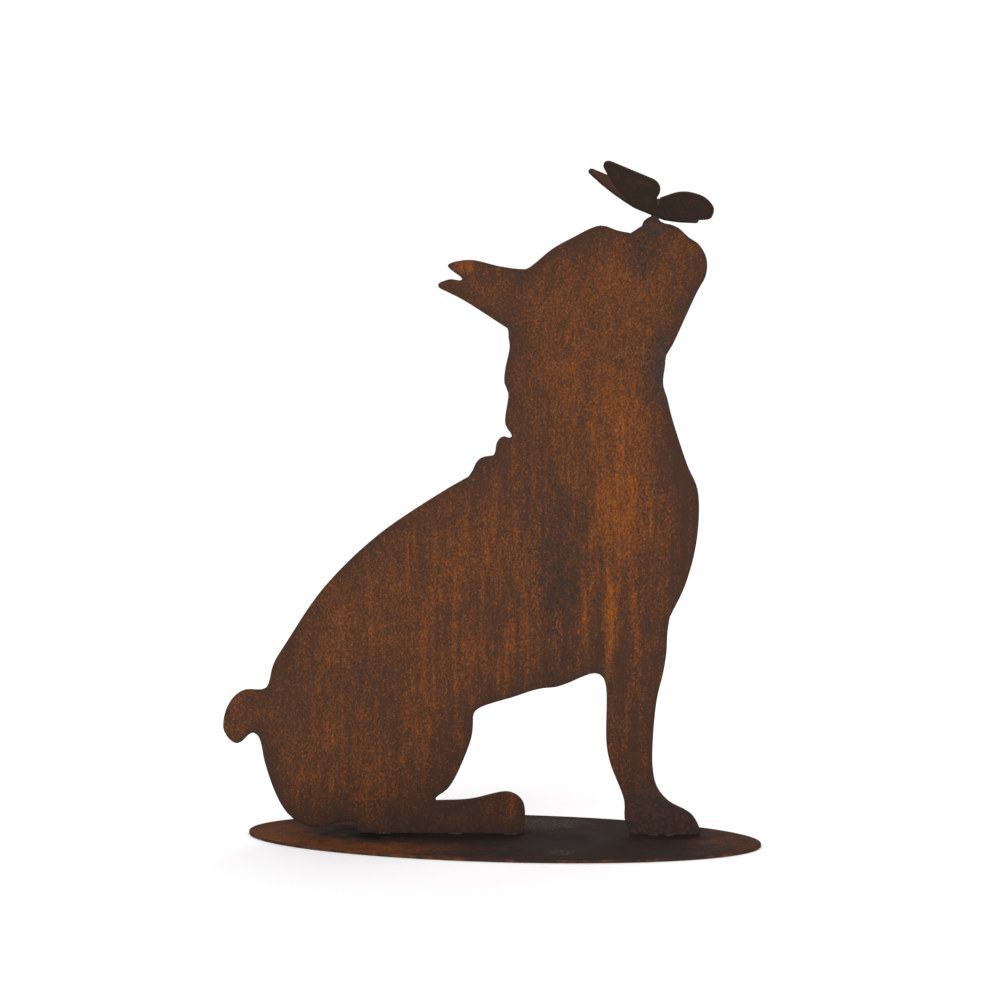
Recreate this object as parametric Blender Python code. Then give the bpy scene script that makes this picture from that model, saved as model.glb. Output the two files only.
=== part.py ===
"""A rusted sheet-steel garden figure: a bulldog that sits and looks up at a butterfly on its nose.

Three pieces of sheet, welded together: the flat cut-out of the dog, the oval base that it stands on, and
the butterfly, which is cut flat and folded up along its body. Lengths are in millimetres, and MM turns
them to metres. X runs along the dog from its tail to its chest, Z is up, and the origin is the middle of
the base's underside.
"""

import math

import bmesh
import bpy
import numpy as np
from mathutils import Vector

MM = 0.001
WELD_GAP = 0.3                  # clear space left where a weld joins two pieces
EDGE_BEVEL = 0.2                # the slight softness of a cut edge
SHARP_ANGLE = math.radians(60)  # edges sharper than this are cut edges
LONGEST_STEP = 4.0              # between two points of a curve
LARGEST_TURN = math.radians(9)  # of a curve between two points

# Base: an oval of sheet that lies flat
BASE_LENGTH = 342.4
BASE_WIDTH = 138.4
BASE_THICKNESS = 2.0
BASE_TURN = math.radians(-6.1)  # the dog was welded on a little askew to the oval
BASE_POINTS = 144

# Dog: a flat cut-out that stands upright on the base
DOG_THICKNESS = 2.0
DOG_X = -1.1                    # the zero line of its drawing, on the base
DOG_Y = 4.6                     # the middle of the sheet, behind the base's own middle
SOLE = BASE_THICKNESS + WELD_GAP

# Butterfly: a flat blank, folded up on both sides of its body
WING_THICKNESS = 1.5
WING_LIFT = math.radians(38.4)  # of each wing above the body's own level
FOLD_RADIUS = 1.2               # inside the fold
FOLD_STEPS = 4                  # facets of each half of the fold
BODY_PLACE = (101.9, 1.2, 410.8)  # on the fold's outer line, in the dog's drawing
BODY_TURN = math.radians(13.9)  # the tail end swings to the back
BODY_DIP = math.radians(20.6)   # and dips
BODY_ROLL = math.radians(-1.0)

# The dog's outline, clockwise from its hind toe, as (x, height). A run is a smooth curve through its points,
# and a corner is where two runs meet. The zero line is near the middle of the dog, and heights start at the
# ground.
HIND_SOLE = ((-94.8, SOLE),)
HEEL = ((-95.3, 6), (-97, 9.1), (-100.5, 10.1))
RUMP = (
    (-108, 9.1), (-123.2, 5.8), (-132, 8), (-139, 12.2), (-144.2, 17.9), (-150.2, 29), (-157.4, 50.5),
    (-159.4, 61.5),
)
TAIL = (
    (-161.7, 67.2), (-165, 69.1), (-168.4, 67.3), (-171.8, 63.8), (-176, 62.1), (-180.4, 64.4),
    (-184, 69.7), (-184.9, 73.5), (-184, 81), (-180.8, 89), (-176, 94.9), (-169.7, 98.2), (-160, 98.2),
)
BACK = (
    (-156.1, 99.6), (-154.1, 103.2), (-151, 115.3), (-142.2, 130), (-117.5, 166.1), (-82, 200.8),
    (-38, 230.6), (-21, 240.4),
)
LOWER_NECK_FOLD = ((-18, 244.7), (-16, 249.2), (-12.4, 252.9), (-4.3, 254.6))
UPPER_NECK_FOLD = ((-3.1, 257), (-2.4, 262), (0.2, 266.1), (3, 267), (6.4, 266.1), (7.8, 267.5))
NAPE = (
    (3.5, 275), (5.4, 295.5), (2.9, 302), (3.2, 309.8), (6.4, 326.5), (5.6, 332), (5.5, 336.2),
    (4.8, 338.1),
)
LOWER_EAR = ((-25, 357.1), (-35.6, 362.4), (-40.2, 365), (-40.5, 367.3), (-32, 370.4))
EAR_NOTCH = ((-26.6, 369.5), (-24.9, 370.6))
UPPER_EAR = ((-34, 378.1), (-33.9, 380), (-20, 383), (0, 378.7), (15, 376.8))
SKULL = ((18.5, 377.5), (34.5, 390.1), (46, 396.5), (66, 405.2), (77, 401.9), (85.6, 400.2))
NOSE_BRIDGE = ((93, 404.9),)
NOSE_TIP = ((94.1, 407.8), (99, 411), (103.4, 409.5), (105.4, 407.6))
MUZZLE = (
    (108, 406.4), (111, 405.9), (116.7, 403.6), (124, 397), (129.6, 393.4), (134, 387), (135.7, 381),
    (134.8, 372), (129.5, 362.2), (113, 326.4),
)
THROAT = ((109.2, 320), (108.5, 313), (107.3, 304.5), (107.6, 299.5))
CHEST = ((109.9, 292.6), (113, 280), (123.5, 248), (130.2, 232), (130, 200), (122.8, 170), (112.3, 147.5))
FORELEG_FRONT = ((110.9, 138), (110.2, 124), (108, 110), (104, 93), (101.3, 62), (101.6, 46), (104.4, 34.4))
PAW = ((112, 25.2), (123.5, 19.1), (127.9, 15.7), (131.3, 10.3), (133, 5.8), (133.2, SOLE))
FRONT_SOLE = ((86.4, SOLE),)
FORELEG_BACK = ((84.6, 8.5), (82.8, 13.5), (82.6, 25), (73.2, 50.3), (70.7, 63), (70.1, 102))
ARMPIT = ((67.5, 108.2), (62.6, 110.1))
BELLY = ((43, 102.7), (36.5, 100.7), (30, 100.2), (22, 98.5), (10, 94.4), (-13.6, 86.6))
THIGH = ((-17.4, 82.8), (-18, 74), (-19.3, 65.5), (-30, 39.6), (-35.2, 32), (-42.9, 26), (-42.6, 24.5))
HIND_FOOT = ((-20, 25.7), (4, 30.8), (10.5, 29), (15.2, 24.2), (16.7, 17.5), (15.9, SOLE))

DOG_RUNS = (
    HIND_SOLE,
    HEEL + RUMP + TAIL + BACK,
    LOWER_NECK_FOLD,
    UPPER_NECK_FOLD + NAPE,
    LOWER_EAR + EAR_NOTCH + UPPER_EAR + SKULL,
    NOSE_BRIDGE,
    NOSE_TIP,
    MUZZLE + THROAT + CHEST,
    FORELEG_FRONT + PAW,
    FRONT_SOLE,
    FORELEG_BACK + ARMPIT + BELLY + THIGH,
    HIND_FOOT,
)

# Half of the butterfly's blank: the corners of its outline from its head end to its tail end, as (along the
# body, out from it, radius of the corner). A slit parts the two wings.
HEAD_END = (-12, 0, 0)
FORE_WING = ((-32, 6.5, 85), (-53.5, 28.2, 3.5), (-6.5, 28.2, 9.5))
WING_SLIT = ((-6.5, 16, 0), (-2.6, 8.7, 0), (-2, 9.2, 0), (-4.4, 16, 0))
HIND_WING = ((5.5, 29, 18), (21, 31.6, 16), (31, 25, 8), (32.4, 16.3, 4.5), (17, 6, 60))
TAIL_END = (3.6, 0, 0)
WING_CORNERS = (HEAD_END, *FORE_WING, *WING_SLIT, *HIND_WING, TAIL_END)

DOG_RUST = (0.088, 0.033, 0.017)
BASE_RUST = (0.075, 0.031, 0.018)
BUTTERFLY_RUST = (0.046, 0.024, 0.016)
RUST_ROUGHNESS = 0.75
RUST_METALLIC = 0.2


def smooth_curve(knots):
    """The points after the first along a centripetal Catmull-Rom curve through the knots."""
    knots = [np.array(knot, float) for knot in knots]
    if len(knots) == 2:
        return [knots[1]]
    padded = [2 * knots[0] - knots[1], *knots, 2 * knots[-1] - knots[-2]]
    points = []
    for before, start, end, after in zip(padded, padded[1:], padded[2:], padded[3:]):
        lead = math.sqrt(np.linalg.norm(start - before))
        span = math.sqrt(np.linalg.norm(end - start))
        trail = math.sqrt(np.linalg.norm(after - end))
        leaving = (start - before) / lead - (end - before) / (lead + span) + (end - start) / span
        arriving = (end - start) / span - (after - start) / (span + trail) + (after - end) / trail
        cosine = leaving @ arriving / (np.linalg.norm(leaving) * np.linalg.norm(arriving))
        turn = math.acos(np.clip(cosine, -1, 1))
        steps = math.ceil(max(turn / LARGEST_TURN, np.linalg.norm(end - start) / LONGEST_STEP))
        for step in range(1, steps + 1):
            t = step / steps
            points.append(
                (2 * t**3 - 3 * t**2 + 1) * start
                + (t**3 - 2 * t**2 + t) * span * leaving
                + (3 * t**2 - 2 * t**3) * end
                + (t**3 - t**2) * span * arriving
            )
    return points


def run_on(start, runs):
    """The points of a line of smooth runs, each from the end of the one before it, the first from start."""
    points = []
    for run in runs:
        points += smooth_curve((start, *run))
        start = run[-1]
    return points


def steps_to(start, end):
    """The points after the first of a straight line, close enough together to be bent."""
    start, end = np.array(start, float), np.array(end, float)
    count = max(1, math.ceil(np.linalg.norm(end - start) / LONGEST_STEP))
    return [start + (end - start) * step / count for step in range(1, count + 1)]


def corner_arc(before, corner, after, radius):
    """The points of the arc that rounds a corner between two straight lines."""
    back, ahead = np.array(before) - corner, np.array(after) - corner
    back, ahead = back / np.linalg.norm(back), ahead / np.linalg.norm(ahead)
    half = math.acos(back @ ahead) / 2
    centre = corner + (back + ahead) / np.linalg.norm(back + ahead) * radius / math.sin(half)
    spoke = corner + back * radius / math.tan(half) - centre
    way = math.copysign(1, back[1] * ahead[0] - back[0] * ahead[1])
    turn = math.pi - 2 * half
    count = math.ceil(turn / LARGEST_TURN)
    points = []
    for step in range(count + 1):
        angle = way * turn * step / count
        cosine, sine = math.cos(angle), math.sin(angle)
        points.append(
            centre + (spoke[0] * cosine - spoke[1] * sine, spoke[0] * sine + spoke[1] * cosine)
        )
    return points


def rounded_line(corners):
    """The points of a line through corners, each rounded to its own radius."""
    places = [np.array(corner[:2], float) for corner in corners]
    points = [places[0]]
    for index in range(1, len(corners) - 1):
        radius = corners[index][2]
        arc = [places[index]]
        if radius:
            arc = corner_arc(places[index - 1], places[index], places[index + 1], radius)
        points += steps_to(points[-1], arc[0]) + arc[1:]
    return points + steps_to(points[-1], places[-1])


def rust_material(name, colour):
    material = bpy.data.materials.new(name)
    material.use_nodes = True
    shader = material.node_tree.nodes["Principled BSDF"]
    shader.inputs["Base Color"].default_value = (*colour, 1.0)
    shader.inputs["Roughness"].default_value = RUST_ROUGHNESS
    shader.inputs["Metallic"].default_value = RUST_METALLIC
    return material


def add_object(name, editor, colour):
    """An object with the mesh in the editor, its faces turned to point out."""
    bmesh.ops.recalc_face_normals(editor, faces=editor.faces)
    mesh = bpy.data.meshes.new(name)
    editor.to_mesh(mesh)
    editor.free()
    mesh.materials.append(rust_material(name + "_rust", colour))
    thing = bpy.data.objects.new(name, mesh)
    bpy.context.scene.collection.objects.link(thing)
    return thing


def cut_sheet(corners, thickness):
    """A solid sheet: a face through the corners, extruded along the thickness."""
    editor = bmesh.new()
    face = editor.faces.new([editor.verts.new(Vector(corner) * MM) for corner in corners])
    grown = bmesh.ops.extrude_face_region(editor, geom=[face], use_keep_orig=True)
    far_side = [item for item in grown["geom"] if isinstance(item, bmesh.types.BMVert)]
    bmesh.ops.translate(editor, verts=far_side, vec=Vector(thickness) * MM)
    return editor


def soften_cut_edges(thing):
    bevel = thing.modifiers.new("cut edges", "BEVEL")
    bevel.width = EDGE_BEVEL * MM
    bevel.segments = 1
    bevel.limit_method = "ANGLE"
    bevel.angle_limit = SHARP_ANGLE


def build_base():
    angles = [math.tau * index / BASE_POINTS for index in range(BASE_POINTS)]
    oval = [(BASE_LENGTH / 2 * math.cos(angle), BASE_WIDTH / 2 * math.sin(angle), 0) for angle in angles]
    base = add_object("base_plate", cut_sheet(oval, (0, 0, BASE_THICKNESS)), BASE_RUST)
    base.rotation_euler.z = BASE_TURN
    soften_cut_edges(base)


def build_dog():
    outline = run_on(HIND_FOOT[-1], DOG_RUNS)
    front = [(x, -DOG_THICKNESS / 2, height) for x, height in outline]
    dog = add_object("dog_silhouette", cut_sheet(front, (0, DOG_THICKNESS, 0)), DOG_RUST)
    dog.location = Vector((DOG_X, DOG_Y, 0)) * MM
    soften_cut_edges(dog)


def folded(along, out, depth):
    """Where a place in the flat blank, at some depth inside its outer face, lies in the folded butterfly.

    The sheet bends round a cylinder above the body, up to the wing's lift, and runs straight from there.
    """
    radius = FOLD_RADIUS + WING_THICKNESS
    angle = min(abs(out) / radius, WING_LIFT)
    straight = abs(out) - radius * angle
    across = (radius - depth) * math.sin(angle) + straight * math.cos(angle)
    up = radius - (radius - depth) * math.cos(angle) + straight * math.sin(angle)
    return Vector((along, math.copysign(across, out), up)) * MM


def build_butterfly():
    left = [tuple(point) for point in rounded_line(WING_CORNERS)]
    right = [(along, -out) for along, out in reversed(left[1:-1])]
    editor = bmesh.new()
    editor.faces.new([editor.verts.new((along, out, 0)) for along, out in left + right])
    half_fold = WING_LIFT * (FOLD_RADIUS + WING_THICKNESS)
    for step in range(-FOLD_STEPS, FOLD_STEPS + 1):
        bend_line = (0, half_fold * step / FOLD_STEPS, 0)
        blank = [*editor.verts, *editor.edges, *editor.faces]
        bmesh.ops.bisect_plane(editor, geom=blank, plane_co=bend_line, plane_no=(0, 1, 0))
    outer = list(editor.verts)
    grown = bmesh.ops.extrude_face_region(editor, geom=list(editor.faces), use_keep_orig=True)
    inner = [item for item in grown["geom"] if isinstance(item, bmesh.types.BMVert)]
    for face_verts, depth in ((outer, 0.0), (inner, WING_THICKNESS)):
        for vert in face_verts:
            vert.co = folded(vert.co.x, vert.co.y, depth)

    butterfly = add_object("butterfly", editor, BUTTERFLY_RUST)
    x, y, height = BODY_PLACE
    butterfly.location = Vector((DOG_X + x, DOG_Y + y, height)) * MM
    butterfly.rotation_euler = (BODY_ROLL, BODY_DIP, BODY_TURN)
    butterfly.data.shade_smooth()
    butterfly.data.set_sharp_from_angle(angle=SHARP_ANGLE)


def main():
    for thing in list(bpy.data.objects):
        bpy.data.objects.remove(thing, do_unlink=True)
    build_base()
    build_dog()
    build_butterfly()


main()
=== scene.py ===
"""The looks of a rusted sheet-steel dog with a butterfly on its nose, built around its CAD frame.

Each sheet is a fine mesh made from its CAD node: the same cut edges, with its flat faces divided small
enough to carry shallow scale and pits. Lengths are in metres, and MM turns millimetres to them.
"""

import math

import bmesh
import bpy
import numpy as np
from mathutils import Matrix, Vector
from mathutils import noise
from mathutils.geometry import delaunay_2d_cdt


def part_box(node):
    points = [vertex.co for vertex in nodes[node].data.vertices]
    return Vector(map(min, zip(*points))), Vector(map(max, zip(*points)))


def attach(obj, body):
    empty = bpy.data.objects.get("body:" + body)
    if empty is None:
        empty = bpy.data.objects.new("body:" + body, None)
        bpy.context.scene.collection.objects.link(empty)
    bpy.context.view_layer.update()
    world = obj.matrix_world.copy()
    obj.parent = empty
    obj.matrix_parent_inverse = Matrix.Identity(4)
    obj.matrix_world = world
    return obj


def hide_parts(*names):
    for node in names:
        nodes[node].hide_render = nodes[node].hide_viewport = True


MM = 0.001

# The fine meshes
SAME_POINT = 0.002 * MM           # points closer than this are one
FLAT_ANGLE = math.radians(0.5)    # faces closer in angle than this are one flat face
SHARP_ANGLE = math.radians(35)    # edges sharper than this stay crisp
LARGE_FACE = 60 * MM * MM         # flat faces larger than this are divided
DOG_GRAIN = 1.9 * MM              # the spacing of points on each piece's flat faces
BASE_GRAIN = 1.7 * MM
WING_GRAIN = 0.8 * MM
RIM_CLEARANCE = 0.55              # the grid keeps this share of its spacing off a face's sides
BATCH = 2000                      # points measured at one time
KEEP_INSIDE = 1                   # the triangulation's code for only the faces inside the border
POINT_TOLERANCE = 1e-9

# The rust's relief, all of it into the sheet
SCALE_DEPTH = 0.10 * MM
SCALE_SIZE = 14 * MM
PIT_DEPTH = 0.06 * MM
PIT_SIZE = 3.2 * MM
PIT_SHIFT = Vector((7, 3, 5))     # parts the pits' noise from the scale's
RELIEF_FADE = 3 * MM              # the relief fades out over this at a cut edge

# Where the rust is brighter (above 0) or darker. Each has its place as shares of the piece's box, along it
# and up it (or across it, for the base), its reach in mm, how much the distance counts along each axis, and
# its amount.
DOG_ZONES = (
    ((0.83, 0.61), 62, (1.9, 0, 0.7), 0.12),     # down the chest
    ((0.828, 0.59), 40, (3.2, 0, 0.75), 0.13),
    ((0.80, 0.45), 34, (2.2, 0, 0.6), 0.14),
    ((0.86, 0.84), 50, (1.3, 0, 1), 0.05),       # the cheek
    ((0.71, 0.46), 42, (2.0, 0, 0.75), -0.16),   # the dark run behind the chest
    ((0.779, 0.34), 26, (2.8, 0, 0.6), -0.16),   # a dark run above the foreleg
    ((0.845, 0.14), 90, (1.5, 0, 1), -0.06),     # the foreleg
    ((0.30, 0.0), 62, (0.5, 0, 1.4), -0.14),     # the foot of the haunch
    ((0.55, 0.03), 45, (0.6, 0, 1), 0.06),       # the hind foot
    ((0.755, 0.34), 22, (4.5, 0, 0.6), 0.13),    # runs above the foreleg, bright and dark
    ((0.808, 0.35), 26, (3.5, 0, 0.6), 0.16),
    ((0.832, 0.32), 28, (3.0, 0, 0.6), -0.17),
    ((0.851, 0.31), 26, (5.0, 0, 0.6), 0.16),
    ((0.877, 0.31), 24, (4.0, 0, 0.7), -0.13),
    ((0.94, 0.54), 34, (1.3, 0, 0.45), -0.12),   # the breast's edge
    ((0.22, 0.19), 62, (1, 0, 0.9), -0.07),      # the rump
    ((0.87, 0.95), 24, (1.8, 0, 0.8), -0.13),    # below the butterfly
    ((0.50, 0.92), 10, (1, 0, 1.2), 0.45),       # the ear's tip
    ((0.41, 0.05), 34, (1, 0, 1.1), -0.12),      # where the hind foot leaves the haunch
    ((0.59, 0.51), 50, (1.2, 0, 0.8), -0.06),    # the shoulder
    ((0.68, 0.33), 40, (1.6, 0, 0.8), -0.13),    # the belly
)

# Where the dog's dark pits are dense, and where heat has scorched it
DOG_PITS = (
    ((0.70, 0.44), 44, (1.8, 0, 0.6), 0.55),     # the dark run behind the chest
    ((0.63, 0.51), 26, (2.4, 0, 0.6), 0.45),     # the shoulder
    ((0.68, 0.34), 38, (1.6, 0, 0.6), 0.5),      # the belly
    ((0.87, 0.56), 16, (2.0, 0, 0.7), 0.6),      # the chest
    ((0.873, 0.94), 22, (2.2, 0, 0.75), 0.9),    # the run below the butterfly
    ((0.84, 0.02), 34, (0.8, 0, 1.2), 0.5),      # the forepaw's heel
    ((0.28, 0.02), 34, (0.7, 0, 1.4), 0.5),      # the foot of the haunch
    ((0.03, 0.20), 24, (1, 0, 0.8), 0.6),        # the tail
    ((0.90, 0.755), 24, (1.8, 0, 0.6), 1.0),     # the throat
)
DOG_SCORCHES = (
    ((0.91, 0.0), 50, (0.75, 0, 1.0), 0.95),     # the paw
    ((0.46, 0.0), 24, (0.32, 0, 1), 0.6),        # the hind foot's seam
    ((0.892, 0.985), 9, (0.7, 0, 1), 0.7),       # below the butterfly
    ((0.906, 0.755), 18, (2.2, 0, 0.55), 0.9),   # the throat
)

# Where the base's rust is brighter or darker, as for the dog; the darkening along the dog and under the
# rump is painted shade
BASE_RUST_AND_SHADE_ZONES = (
    ((0.68, 0.50), 115, (1, 0.3, 0), -0.30),     # the middle
    # The next two are painted shade: the dog's shadow along the base and under the rump
    ((0.41, 0.50), 160, (1, 4.5, 0), -0.48),     # along the dog
    ((0.25, 0.58), 36, (0.9, 1.6, 0), -0.60),    # under the rump
    ((0.20, 0.28), 62, (0.7, 1, 0), 0.30),       # the left end's front
    ((0.05, 0.50), 40, (1, 0.8, 0), 0.26),       # the left end
    ((0.93, 0.44), 34, (1, 0.8, 0), 0.10),       # the right end
    ((0.90, 0.42), 20, (1.3, 0.8, 0), 0.12),
)

# Near-black painted shade on the base beside and under the dog, where its shadow falls, and grey painted
# sheens, which stand for reflections
BASE_PAINTED_SHADOWS = (
    ((0.235, 0.58), 33, (0.80, 1.2, 0), 0.90),   # the rump's
    ((0.42, 0.50), 130, (1, 6, 0), 0.6),         # the hind foot's
    ((0.86, 0.49), 34, (1, 3, 0), 0.5),          # the paw's
)
# Painted sheens: grey patches that stand for reflections on the base
BASE_PAINTED_SHEENS = (
    ((0.58, 0.80), 26, (0.8, 1, 0), 0.7),
    ((0.615, 0.15), 12, (1, 1, 0), 0.5),
)

# The weld tacks: the ends of each along the dog's length, as shares of it
FOOT_TACKS = ((0.318, 0.349), (0.468, 0.499), (0.586, 0.614), (0.883, 0.906), (0.918, 0.938))
TACK_RADIUS = 0.75 * MM
NOSE_TACK = ((0.885, 0.4), (0.893, -0.1), (0.903, -1.2))   # along the dog, and mm above its top
NOSE_TACK_RADIUS = 1.3 * MM
RIPPLE = 1.6 * MM
RIPPLE_DEPTH = 0.10               # shares of the bead's radius
LUMP_DEPTH = 0.22
LUMP_SIZE = 1.4 * MM
SMALLEST_RING = 0.06
BEAD_RINGS = 28
BEAD_SIDES = 16
SEAM_RISE = 0.1 * MM              # the foot tacks' middles above the base's top

# Colours, as linear red, green and blue
DOG_DARK = (0.057, 0.0285, 0.0195)
DOG_ORANGE = (0.29, 0.081, 0.0135)
PIN_ORANGE = (0.34, 0.100, 0.016)
PIT_BLACK = (0.030, 0.026, 0.026)
SCORCH_DARK = (0.042, 0.0295, 0.0265)
SCORCH_BROWN = (0.088, 0.039, 0.028)
DOG_EDGE_DARK = (0.040, 0.024, 0.019)
DOG_EDGE_BROWN = (0.125, 0.046, 0.020)
BASE_DARK = (0.0265, 0.0185, 0.0160)
BASE_ORANGE = (0.19, 0.058, 0.018)
# The black of the painted shadow that the dog casts on the base
PAINTED_SHADOW_BLACK = (0.0125, 0.0095, 0.0085)
# The grey of the painted sheens, which stand for reflections
PAINTED_SHEEN_GREY = (0.085, 0.070, 0.058)
BASE_EDGE_DARK = (0.042, 0.024, 0.018)
BASE_EDGE_BROWN = (0.150, 0.050, 0.020)
WING_DARK = (0.0305, 0.0200, 0.0165)
WING_ORANGE = (0.20, 0.062, 0.020)
WELD_BROWN = (0.085, 0.036, 0.020)
WELD_DARK = (0.021, 0.017, 0.016)
# The grey of bare weld metal, which also stands in for a painted glint
WELD_BARE_AND_GLINT_GREY = (0.075, 0.068, 0.064)
GLOW_POWER = 1.8                  # makes equal steps of glow look equal
BACK_SHARE = 0.4                  # how strong the dog's stains are on its back

# The bump of the finest grain
BUMP_STRENGTH = 0.3
SHEET_BUMP = 0.25 * MM
WING_BUMP = 0.2 * MM
WELD_BUMP = 0.15 * MM

# The studio
FLOOR_HALF = 40.0
FLOOR_DROP = 0.0002               # keeps the floor off the base's underside
FLOOR_COLOUR = (0.97, 0.97, 0.97)
SKY_STRENGTH = 1.04
LIGHT_SIZE = 1.6
LIGHT_AIM = Vector((0, 0, 0.2))

# The camera, at the height and distance that the view needs
CAMERA_AT = (46.9 * MM, -1369.6 * MM, 297 * MM)
CAMERA_AZIMUTH = math.radians(2)
CAMERA_DIP = math.radians(3)
CAMERA_LENS = 75
CAMERA_SENSOR = 36


# ---------------------------------------------------------------- fine meshes


def plane_axes(normal):
    """Two unit vectors square to the normal and to each other."""
    across = normal.orthogonal().normalized()
    return across, normal.cross(across)


def inside(points, loop):
    """Which points lie inside a closed loop, by how often a ray crosses it."""
    x, y = points[:, :1], points[:, 1:]
    x1, y1 = loop[:, 0], loop[:, 1]
    x2, y2 = np.roll(x1, -1), np.roll(y1, -1)
    crosses = (y1 > y) != (y2 > y)
    rise = np.where(y2 == y1, 1, y2 - y1)
    return (crosses & (x < x1 + (y - y1) * (x2 - x1) / rise)).sum(1) % 2 == 1


def distance_to(points, loop):
    """The distance of each point to the nearest side of a closed loop."""
    ends = np.roll(loop, -1, axis=0)
    along = ends - loop
    length2 = (along**2).sum(1)
    nearest = np.full(len(points), np.inf)
    for first in range(0, len(points), BATCH):
        some = points[first : first + BATCH, None]
        share = np.clip(((some - loop) * along).sum(2) / length2, 0, 1)
        gap = some - loop - share[..., None] * along
        nearest[first : first + BATCH] = np.sqrt((gap**2).sum(2)).min(1)
    return nearest


def grid_inside(loop, spacing):
    """A triangular grid of points inside a loop, kept off its sides, and their distances to it."""
    low, high = loop.min(0), loop.max(0)
    row_gap = spacing * math.sqrt(3) / 2
    rows = np.arange(low[1] + row_gap / 2, high[1], row_gap)
    columns = np.arange(low[0], high[0], spacing)
    x = columns[None, :] + (np.arange(len(rows)) % 2)[:, None] * spacing / 2
    y = np.repeat(rows[:, None], len(columns), axis=1)
    points = np.stack([x.ravel(), y.ravel()], 1)
    points = points[inside(points, loop)]
    gap = distance_to(points, loop)
    kept = gap > RIM_CLEARANCE * spacing
    return points[kept], gap[kept]


def relief(point, gap):
    """How far the rust's surface lies under the sheet's own, at a point that far from a cut edge."""
    scale = 0.5 + 0.5 * noise.noise(point / SCALE_SIZE)
    pit = max(0, noise.noise(point / PIT_SIZE + PIT_SHIFT))
    fade = min(1, gap / RELIEF_FADE)
    return fade * (SCALE_DEPTH * scale + PIT_DEPTH * pit)


def divide_face(bm, face, spacing, rim_gap):
    """Puts a fine grid of triangles in place of a flat face, with the same border."""
    corners = list(face.verts)
    normal = face.normal.copy()
    across, up = plane_axes(normal)
    start = corners[0].co.copy()
    loop = np.array([((v.co - start).dot(across), (v.co - start).dot(up)) for v in corners])
    points, gaps = grid_inside(loop, spacing)
    flat = [Vector(p) for p in loop] + [Vector(p) for p in points]
    border = [(i, (i + 1) % len(loop)) for i in range(len(loop))]
    _, _, triangles, sources, _, _ = delaunay_2d_cdt(flat, border, [], KEEP_INSIDE, POINT_TOLERANCE)
    inner = []
    for point, gap in zip(points, gaps):
        place = start + across * point[0] + up * point[1]
        vertex = bm.verts.new(place - normal * relief(place, gap))
        vertex[rim_gap] = gap
        inner.append(vertex)
    vertices = corners + inner
    material = face.material_index
    bmesh.ops.delete(bm, geom=[face], context="FACES_ONLY")
    for triangle in triangles:
        new = bm.faces.new([vertices[sources[i][0]] for i in triangle])
        new.material_index = material


def fine_mesh(name, source, spacing):
    """A fine copy of a CAD mesh: its flat faces divided, its cut edges as they are."""
    bm = bmesh.new()
    bm.from_mesh(source)
    rim_gap = bm.verts.layers.float.new("rim_gap")
    bmesh.ops.remove_doubles(bm, verts=bm.verts, dist=SAME_POINT)
    bmesh.ops.dissolve_limit(
        bm, angle_limit=FLAT_ANGLE, verts=bm.verts, edges=bm.edges, use_dissolve_boundaries=False
    )
    bm.normal_update()
    for face in [f for f in bm.faces if f.calc_area() > LARGE_FACE]:
        divide_face(bm, face, spacing, rim_gap)
    bmesh.ops.triangulate(bm, faces=[f for f in bm.faces if len(f.verts) > 4])
    bm.normal_update()
    mesh = bpy.data.meshes.new(name)
    bm.to_mesh(mesh)
    bm.free()
    mesh.shade_smooth()
    mesh.set_sharp_from_angle(angle=SHARP_ANGLE)
    mesh.materials.clear()
    return mesh


def build_sheet(name, nodes, node, spacing, rust):
    """The fine piece that stands for a CAD sheet, with its rust."""
    sheet = bpy.data.objects.new(name, fine_mesh(name, nodes[node].data, spacing))
    bpy.context.scene.collection.objects.link(sheet)
    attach(sheet, "root")
    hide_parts(node)
    sheet.data.materials.append(rust())


# ---------------------------------------------------------------- welds


def bead_ring(bm, centre, along, reach, end, radius):
    """One ring of a bead's points, square to its path."""
    across, up = plane_axes(along)
    ripple = 1 + RIPPLE_DEPTH * math.sin(math.tau * reach / RIPPLE)
    around = []
    for side in range(BEAD_SIDES):
        angle = math.tau * side / BEAD_SIDES
        way = across * math.cos(angle) + up * math.sin(angle)
        lump = 1 + LUMP_DEPTH * noise.noise((centre + way * radius) / LUMP_SIZE)
        size = radius * max(SMALLEST_RING, end) * ripple * lump
        around.append(bm.verts.new(centre + way * size))
    return around


def weld_bead(name, path, radius):
    """A lumpy bead along a short path, with the ripples of a weld and rounded ends."""
    points = [Vector(point) for point in path]
    lengths = np.cumsum([0] + [(b - a).length for a, b in zip(points, points[1:])])
    bm = bmesh.new()
    made = []
    for ring in range(BEAD_RINGS + 1):
        share = ring / BEAD_RINGS
        reach = share * lengths[-1]
        at = min(int(np.searchsorted(lengths, reach, side="right")) - 1, len(points) - 2)
        part = (reach - lengths[at]) / (lengths[at + 1] - lengths[at])
        centre = points[at].lerp(points[at + 1], part)
        along = (points[at + 1] - points[at]).normalized()
        end = math.sqrt(max(0.0, 1 - (2 * share - 1) ** 4))
        made.append(bead_ring(bm, centre, along, reach, end, radius))
    for one, two in zip(made, made[1:]):
        for side in range(BEAD_SIDES):
            after = (side + 1) % BEAD_SIDES
            bm.faces.new((one[side], one[after], two[after], two[side]))
    bm.faces.new(list(reversed(made[0])))
    bm.faces.new(made[-1])
    bmesh.ops.recalc_face_normals(bm, faces=bm.faces)
    mesh = bpy.data.meshes.new(name)
    bm.to_mesh(mesh)
    bm.free()
    mesh.shade_smooth()
    bead = bpy.data.objects.new(name, mesh)
    bpy.context.scene.collection.objects.link(bead)
    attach(bead, "root")
    return bead


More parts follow.
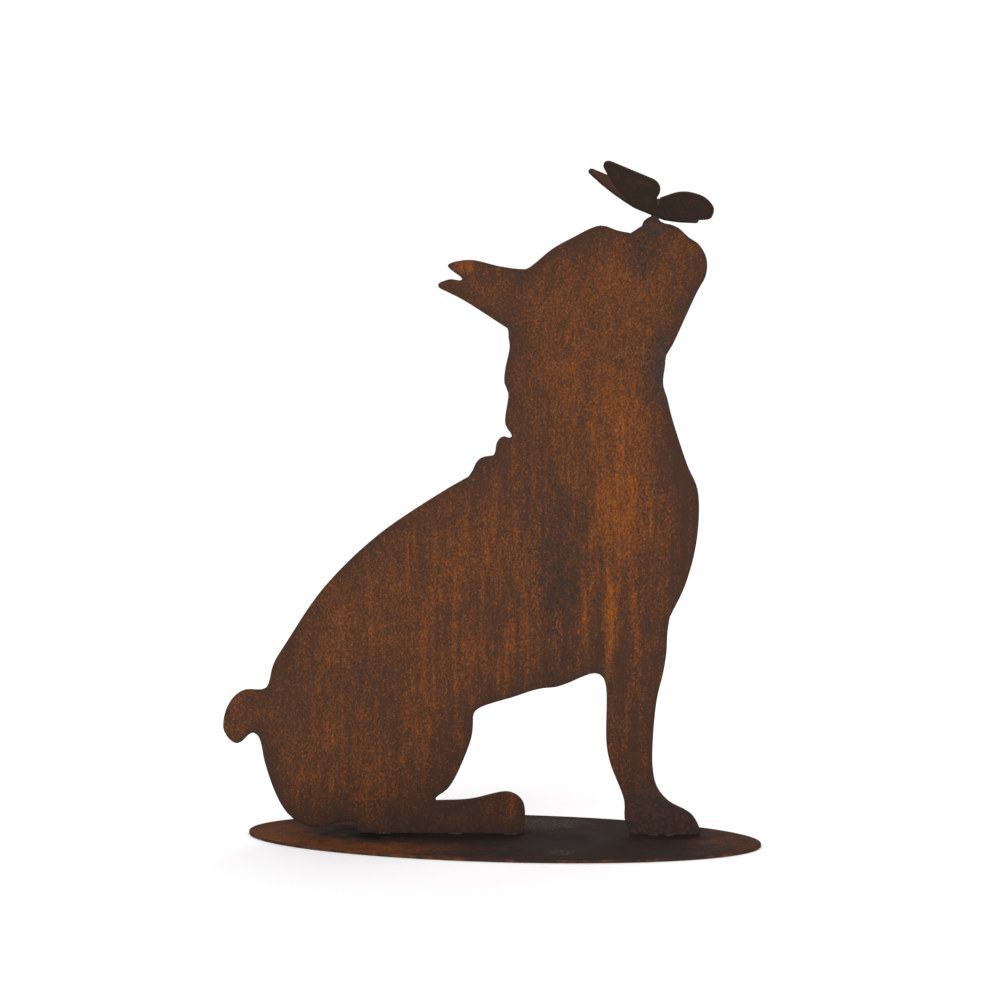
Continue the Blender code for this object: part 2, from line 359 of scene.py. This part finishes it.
def build_welds():
    """Short tacks along both sides of the feet, and one under the butterfly."""
    low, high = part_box("dog_silhouette")
    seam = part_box("base_plate")[1].z
    length = high.x - low.x
    beads = []
    for side, face in (("front", low.y), ("back", high.y)):
        for number, ends in enumerate(FOOT_TACKS, 1):
            path = [(low.x + share * length, face, seam + SEAM_RISE) for share in ends]
            beads.append(weld_bead(f"{side}_foot_weld_{number}", path, TACK_RADIUS))
    middle = (low.y + high.y) / 2
    path = [(low.x + share * length, middle, high.z + rise * MM) for share, rise in NOSE_TACK]
    beads.append(weld_bead("nose_weld", path, NOSE_TACK_RADIUS))
    # The grey flecks, partly bare metal and partly a painted glint, start at the last foot tack
    steel = weld_steel(low.x + FOOT_TACKS[-1][0] * length)
    for bead in beads:
        bead.data.materials.append(steel)


# ---------------------------------------------------------------- materials


class Nodes:
    """Short calls that add nodes to one material."""

    def __init__(self, name, specular):
        self.material = bpy.data.materials.new(name)
        self.material.use_nodes = True
        self.tree = self.material.node_tree
        self.shader = self.tree.nodes["Principled BSDF"]
        self.shader.inputs["Specular IOR Level"].default_value = specular
        self.shader.inputs["Metallic"].default_value = 0.0
        self.place = self.tree.nodes.new("ShaderNodeTexCoord").outputs["Object"]

    def join(self, source, socket):
        """Links a socket, or sets it where the source is a number or a vector."""
        if isinstance(source, bpy.types.NodeSocket):
            self.tree.links.new(source, socket)
        else:
            socket.default_value = source

    def stretched(self, scale, shift=(0, 0, 0)):
        """The point's place, scaled along each axis and shifted."""
        node = self.tree.nodes.new("ShaderNodeMapping")
        node.inputs["Scale"].default_value = scale
        node.inputs["Location"].default_value = shift
        self.tree.links.new(self.place, node.inputs["Vector"])
        return node.outputs["Vector"]

    def noise(self, where, scale, detail=2.0, rough=0.5):
        node = self.tree.nodes.new("ShaderNodeTexNoise")
        node.inputs["Scale"].default_value = scale
        node.inputs["Detail"].default_value = detail
        node.inputs["Roughness"].default_value = rough
        self.tree.links.new(where, node.inputs["Vector"])
        return node.outputs["Fac"]

    def spread(self, value, low, high, to_low=0.0, to_high=1.0):
        """A value eased from one range to another."""
        node = self.tree.nodes.new("ShaderNodeMapRange")
        node.interpolation_type = "SMOOTHSTEP"
        self.tree.links.new(value, node.inputs["Value"])
        node.inputs["From Min"].default_value = low
        node.inputs["From Max"].default_value = high
        node.inputs["To Min"].default_value = to_low
        node.inputs["To Max"].default_value = to_high
        return node.outputs["Result"]

    def maths(self, operation, first, second=0.0, clamp=False):
        node = self.tree.nodes.new("ShaderNodeMath")
        node.operation = operation
        node.use_clamp = clamp
        self.join(first, node.inputs[0])
        self.join(second, node.inputs[1])
        return node.outputs["Value"]

    def mix(self, share, first, second):
        """The first colour at a share of 0 and the second at 1."""
        node = self.tree.nodes.new("ShaderNodeMix")
        node.data_type = "RGBA"
        self.join(share, node.inputs["Factor"])
        for colour, socket in ((first, node.inputs["A"]), (second, node.inputs["B"])):
            self.join((*colour, 1) if isinstance(colour, tuple) else colour, socket)
        return node.outputs["Result"]

    def attribute(self, name):
        node = self.tree.nodes.new("ShaderNodeAttribute")
        node.attribute_name = name
        return node.outputs["Fac"]

    def facing(self, axis):
        """How much the surface faces along an axis, from -1 to 1."""
        parts = self.tree.nodes.new("ShaderNodeSeparateXYZ")
        normal = self.tree.nodes.new("ShaderNodeNewGeometry").outputs["Normal"]
        self.tree.links.new(normal, parts.inputs[0])
        return parts.outputs[axis]

    def along(self, axis):
        """The point's own place along an axis."""
        parts = self.tree.nodes.new("ShaderNodeSeparateXYZ")
        self.tree.links.new(self.place, parts.inputs[0])
        return parts.outputs[axis]

    def near(self, centre, reach, stretch):
        """1 at a place and 0 beyond reach from it, its edge broken up by noise."""
        node = self.tree.nodes.new("ShaderNodeVectorMath")
        node.operation = "SUBTRACT"
        self.tree.links.new(self.place, node.inputs[0])
        node.inputs[1].default_value = centre
        scaled = self.tree.nodes.new("ShaderNodeVectorMath")
        scaled.operation = "MULTIPLY"
        self.tree.links.new(node.outputs["Vector"], scaled.inputs[0])
        scaled.inputs[1].default_value = stretch
        length = self.tree.nodes.new("ShaderNodeVectorMath")
        length.operation = "LENGTH"
        self.tree.links.new(scaled.outputs["Vector"], length.inputs[0])
        uneven = self.maths("SUBTRACT", self.noise(self.place, 90, 3), 0.5)
        ragged = self.maths("MULTIPLY", uneven, reach)
        return self.spread(self.maths("ADD", length.outputs["Value"], ragged), 0.35 * reach, reach, 1, 0)

    def finish(self, colour, roughness, height, distance):
        """Joins colour, roughness and bump to the shader, and gives the material."""
        bump = self.tree.nodes.new("ShaderNodeBump")
        bump.inputs["Strength"].default_value = BUMP_STRENGTH
        bump.inputs["Distance"].default_value = distance
        self.tree.links.new(height, bump.inputs["Height"])
        self.tree.links.new(bump.outputs["Normal"], self.shader.inputs["Normal"])
        self.tree.links.new(colour, self.shader.inputs["Base Color"])
        self.tree.links.new(roughness, self.shader.inputs["Roughness"])
        return self.material


def weighted(n, start, *parts):
    """A number plus noises, each taken from its middle value and times its own weight."""
    total = start
    for value, weight in parts:
        part = n.maths("MULTIPLY", n.maths("SUBTRACT", value, 0.5), weight)
        total = n.maths("ADD", part, total)
    return total


def add_part(n, value, part, amount):
    """A value plus a part of another."""
    return n.maths("ADD", value, n.maths("MULTIPLY", part, amount))


def zone_places(node, zones, upright):
    """The place of each zone in the piece's box, with its reach, stretch and amount."""
    low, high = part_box(node)
    for (along, other), reach, stretch, amount in zones:
        place = [low.x + along * (high.x - low.x), 0, 0]
        if upright:
            place[2] = low.z + other * (high.z - low.z)
        else:
            place[1] = low.y + other * (high.y - low.y)
        yield Vector(place), reach * MM, stretch, amount


def add_zones(n, value, node, zones, upright):
    """A value plus each zone's amount, where the zone reaches."""
    for place, reach, stretch, amount in zone_places(node, zones, upright):
        value = add_part(n, value, n.near(place, reach, stretch), amount)
    return value


def rust_colour(n, glow, dark, orange):
    """From dark to orange as the glow goes from 0 to 1."""
    share = n.maths("POWER", n.maths("MAXIMUM", glow, 0.0, clamp=True), GLOW_POWER)
    return n.mix(share, dark, orange)


def cut_edge(n, axis):
    """1 on the faces square to the sheet, which are its cut edges."""
    return n.spread(n.maths("ABSOLUTE", n.facing(axis)), 0.5, 0.8, 1, 0)


def dog_rust():
    """Dark brown rust with fine orange speckle and runs down it, blacker at its edges, stains and welds."""
    n = Nodes("dog_rust_fine", 0.02)
    speck = n.noise(n.stretched((1, 1, 0.75)), 780, 3, 0.6)
    clump = n.noise(n.stretched((1, 1, 0.4), (2, 0, 4)), 260, 3, 0.65)
    runs = n.noise(n.stretched((280, 40, 20), (0.02, 0, 0)), 1, 4, 0.65)
    bands = n.noise(n.stretched((75, 20, 8), (3, 0, 1)), 1, 4, 0.65)
    patch = n.noise(n.stretched((1, 1, 0.6)), 30, 4, 0.6)
    streaks = weighted(n, 0, (runs, 1.0), (bands, 1.0))
    streaks = n.maths("MULTIPLY", streaks, n.spread(n.along("Z"), 380 * MM, 180 * MM, 0.1, 1.0))
    streaks = n.maths("MULTIPLY", streaks, n.spread(n.along("X"), -110 * MM, 30 * MM, 0.45, 1.0))
    glow = n.maths("ADD", weighted(n, 0.38, (speck, 1.9), (clump, 0.85), (patch, 0.6)), streaks)
    front = n.spread(n.facing("Y"), -0.5, 0.5, 1, BACK_SHARE)
    zones = add_zones(n, 0, "dog_silhouette", DOG_ZONES, True)
    glow = n.maths("ADD", glow, n.maths("MULTIPLY", zones, front))
    gap = n.attribute("rim_gap")
    ragged = n.maths("MULTIPLY", n.maths("SUBTRACT", patch, 0.5), 26 * MM)
    rim = n.spread(n.maths("ADD", gap, ragged), 0, 9 * MM, 1, 0)
    glow = add_part(n, glow, rim, -0.13)
    glow = add_part(n, glow, n.spread(gap, 0, 30 * MM, 1, 0), -0.13)
    colour = rust_colour(n, glow, DOG_DARK, DOG_ORANGE)
    pins = n.spread(n.noise(n.stretched((1, 1, 0.9), (5, 1, 2)), 800, 1.5), 0.63, 0.72)
    pins = n.maths("MULTIPLY", pins, n.spread(glow, 0.1, 0.5))
    colour = n.mix(n.maths("MULTIPLY", pins, 0.75), colour, PIN_ORANGE)
    pits = n.spread(n.noise(n.stretched((1, 1, 0.8), (5, 5, 5)), 700, 3, 0.6), 0.53, 0.61)
    narrow = n.spread(n.maths("ADD", gap, n.maths("MULTIPLY", ragged, 0.4)), 0, 5 * MM, 1, 0)
    depth = n.maths("MULTIPLY", add_zones(n, 0, "dog_silhouette", DOG_PITS, True), front)
    depth = n.maths("ADD", add_part(n, 0.16, narrow, 0.6), depth)
    colour = n.mix(n.maths("MULTIPLY", pits, depth, clamp=True), colour, PIT_BLACK)
    blotch = n.spread(n.noise(n.place, 380, 4, 0.7), 0.45, 0.68)
    scorched = n.mix(blotch, SCORCH_DARK, SCORCH_BROWN)
    for place, reach, stretch, amount in zone_places("dog_silhouette", DOG_SCORCHES, True):
        burnt = n.maths("MULTIPLY", n.near(place, reach, stretch), amount)
        colour = n.mix(burnt, colour, scorched)
    lines = n.noise(n.stretched((1500, 60, 1500)), 1, 2)
    edge_colour = n.mix(n.spread(lines, 0.35, 0.65), DOG_EDGE_DARK, DOG_EDGE_BROWN)
    colour = n.mix(n.maths("MULTIPLY", cut_edge(n, "Y"), 0.7), colour, edge_colour)
    roughness = n.spread(patch, 0.3, 0.7, 0.70, 0.88)
    return n.finish(colour, roughness, speck, SHEET_BUMP)


def base_rust():
    """The base: near black under and beside the dog, which is painted shade, browner at its ends, with
    streaks along it, and with painted grey sheens.
    """
    n = Nodes("base_rust_fine", 0.012)
    speck = n.noise(n.place, 640, 3, 0.65)
    streak = n.noise(n.stretched((20, 130, 60)), 1, 4, 0.6)
    patch = n.noise(n.stretched((26, 34, 30), (1, 2, 0)), 1, 4, 0.6)
    glow = weighted(n, 0.33, (speck, 1.4), (streak, 0.5), (patch, 0.8))
    glow = add_zones(n, glow, "base_plate", BASE_RUST_AND_SHADE_ZONES, False)
    colour = rust_colour(n, glow, BASE_DARK, BASE_ORANGE)
    # Painted shade: the base is mixed to near black where the dog's shadow falls beside and under it
    shade = add_zones(n, 0, "base_plate", BASE_PAINTED_SHADOWS, False)
    colour = n.mix(n.maths("MINIMUM", shade, 1.0), colour, PAINTED_SHADOW_BLACK)
    # Painted reflections: grey sheen mixed into the colour in patches
    for place, reach, stretch, amount in zone_places("base_plate", BASE_PAINTED_SHEENS, False):
        grey = n.maths("MULTIPLY", n.near(place, reach, stretch), n.spread(speck, 0.4, 0.65))
        colour = n.mix(n.maths("MULTIPLY", grey, amount), colour, PAINTED_SHEEN_GREY)
    lines = n.noise(n.stretched((110, 110, 60)), 1, 4, 0.6)
    edge_colour = n.mix(n.spread(lines, 0.40, 0.75), BASE_EDGE_DARK, BASE_EDGE_BROWN)
    colour = n.mix(cut_edge(n, "Z"), colour, edge_colour)
    roughness = n.spread(patch, 0.3, 0.7, 0.74, 0.92)
    return n.finish(colour, roughness, speck, SHEET_BUMP)


def butterfly_rust():
    """A darker sheet than the dog's, with faint reddish mottling in the middle of each wing, and painted
    light that makes faces turned up lighter.
    """
    n = Nodes("butterfly_rust_fine", 0.02)
    speck = n.noise(n.place, 640, 3, 0.65)
    patch = n.noise(n.place, 75, 4, 0.6)
    glow = weighted(n, 0.14, (speck, 0.8), (patch, 0.9))
    away = n.spread(n.attribute("rim_gap"), 0, 6 * MM)
    glow = n.maths("MULTIPLY", glow, away)
    # Painted light: faces turned up are lighter, as if lit from above
    glow = add_part(n, glow, n.spread(n.facing("Z"), 0.1, 0.5), 0.34)
    colour = rust_colour(n, glow, WING_DARK, WING_ORANGE)
    roughness = n.spread(patch, 0.3, 0.7, 0.72, 0.9)
    return n.finish(colour, roughness, speck, WING_BUMP)


def weld_steel(fleck_start):
    """Weld metal: dark and brown, with grey flecks that are strongest past a place along x; the flecks are
    partly bare metal and partly a painted glint.
    """
    n = Nodes("weld_steel", 0.15)
    speck = n.noise(n.place, 900, 3, 0.6)
    colour = n.mix(n.spread(speck, 0.38, 0.52), WELD_BROWN, WELD_DARK)
    # Grey flecks, partly bare metal and partly a painted glint
    flecks = n.spread(speck, 0.5, 0.6)
    bare_and_glint = n.maths("MULTIPLY", flecks, n.spread(n.along("X"), fleck_start - MM, fleck_start, 0.1, 1))
    colour = n.mix(bare_and_glint, colour, WELD_BARE_AND_GLINT_GREY)
    roughness = n.spread(speck, 0.35, 0.65, 0.5, 0.8)
    return n.finish(colour, roughness, speck, WELD_BUMP)


# ---------------------------------------------------------------- studio


def plain_material(name, colour, roughness):
    material = bpy.data.materials.new(name)
    material.use_nodes = True
    shader = material.node_tree.nodes["Principled BSDF"]
    shader.inputs["Base Color"].default_value = (*colour, 1)
    shader.inputs["Roughness"].default_value = roughness
    shader.inputs["Specular IOR Level"].default_value = 0
    return material


def build_floor():
    mesh = bpy.data.meshes.new("studio_floor")
    half = FLOOR_HALF
    mesh.from_pydata(
        [(-half, -half, 0), (half, -half, 0), (half, half, 0), (-half, half, 0)], [], [(0, 1, 2, 3)]
    )
    floor = bpy.data.objects.new("studio_floor", mesh)
    floor.location.z = -FLOOR_DROP
    floor.data.materials.append(plain_material("pale_floor", FLOOR_COLOUR, 0.9))
    bpy.context.scene.collection.objects.link(floor)


def add_area_light(name, place, power):
    light = bpy.data.lights.new(name, "AREA")
    light.shape = "SQUARE"
    light.size = LIGHT_SIZE
    light.energy = power
    lamp = bpy.data.objects.new(name, light)
    lamp.location = place
    lamp.rotation_euler = (LIGHT_AIM - Vector(place)).to_track_quat("-Z", "Y").to_euler()
    bpy.context.scene.collection.objects.link(lamp)


def build_studio():
    world = bpy.data.worlds.new("studio_world")
    world.use_nodes = True
    world.node_tree.nodes["Background"].inputs["Color"].default_value = (1, 1, 1, 1)
    world.node_tree.nodes["Background"].inputs["Strength"].default_value = SKY_STRENGTH
    bpy.context.scene.world = world
    add_area_light("front_light", (-0.9, -2.2, 1.4), 14)
    add_area_light("back_light", (1.0, 2.2, 1.5), 12)
    bpy.context.scene.view_settings.view_transform = "Standard"


def build_camera():
    data = bpy.data.cameras.new("view_camera")
    data.lens = CAMERA_LENS
    data.sensor_width = CAMERA_SENSOR
    camera = bpy.data.objects.new("view_camera", data)
    camera.location = CAMERA_AT
    camera.rotation_euler = (math.pi / 2 - CAMERA_DIP, 0, CAMERA_AZIMUTH)
    bpy.context.scene.collection.objects.link(camera)
    bpy.context.scene.camera = camera


# ---------------------------------------------------------------- the scene

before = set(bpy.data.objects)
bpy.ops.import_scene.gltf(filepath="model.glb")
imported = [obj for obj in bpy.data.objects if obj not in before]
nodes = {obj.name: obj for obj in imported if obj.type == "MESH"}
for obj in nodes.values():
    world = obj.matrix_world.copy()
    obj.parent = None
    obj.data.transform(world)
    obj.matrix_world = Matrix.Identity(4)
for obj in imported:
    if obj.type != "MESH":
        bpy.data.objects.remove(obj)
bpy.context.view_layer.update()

build_sheet("rusted_dog", nodes, "dog_silhouette", DOG_GRAIN, dog_rust)
build_sheet("rusted_base", nodes, "base_plate", BASE_GRAIN, base_rust)
build_sheet("rusted_butterfly", nodes, "butterfly", WING_GRAIN, butterfly_rust)
build_welds()

build_floor()
build_studio()
build_camera()
